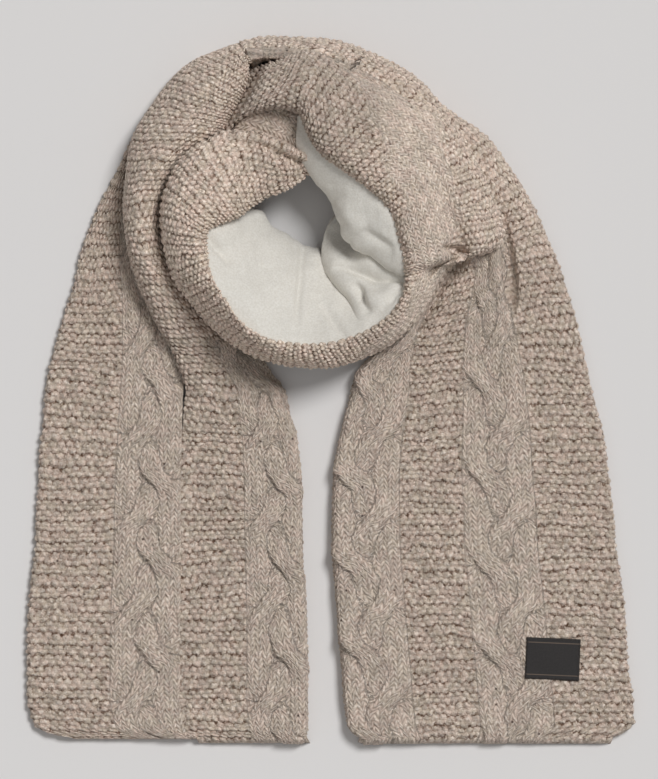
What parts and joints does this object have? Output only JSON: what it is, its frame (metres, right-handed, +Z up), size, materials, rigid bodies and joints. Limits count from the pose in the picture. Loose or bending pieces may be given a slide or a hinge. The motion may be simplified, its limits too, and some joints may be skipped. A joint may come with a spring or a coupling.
{
  "type": "knit scarf",
  "caption": "Chunky cable-knit scarf with a fleece lining, wound once round a neck hole and laid flat with its ends side by side.",
  "frame": {"origin": "bottom centre of the whole scarf's box, on the surface that it lies on", "axes": "+Y from the hems to the back of the neck, +X towards the end that carries the label, +Z up off the surface"},
  "size_m": [0.4382, 0.5051, 0.0877],
  "materials": {
    "knit": "matt chunky wool-blend knit, oatmeal with a few dark brown flecks",
    "fleece": "matt cream pile fleece",
    "label": "fine black woven label with two thin bronze lines, bare of text"
  },
  "bodies": {
    "root": {"tail_left": "knit", "tail_right": "knit", "left_under": "knit", "left_rise": "knit", "right_rise": "knit", "neck_front": "knit", "neck_back": "knit", "neck_tuck": "knit", "hidden_folds": "knit", "lining_front": "fleece", "lining_folds": "fleece", "lining_back": "fleece", "label": "label"}
  },
  "joints": []
}
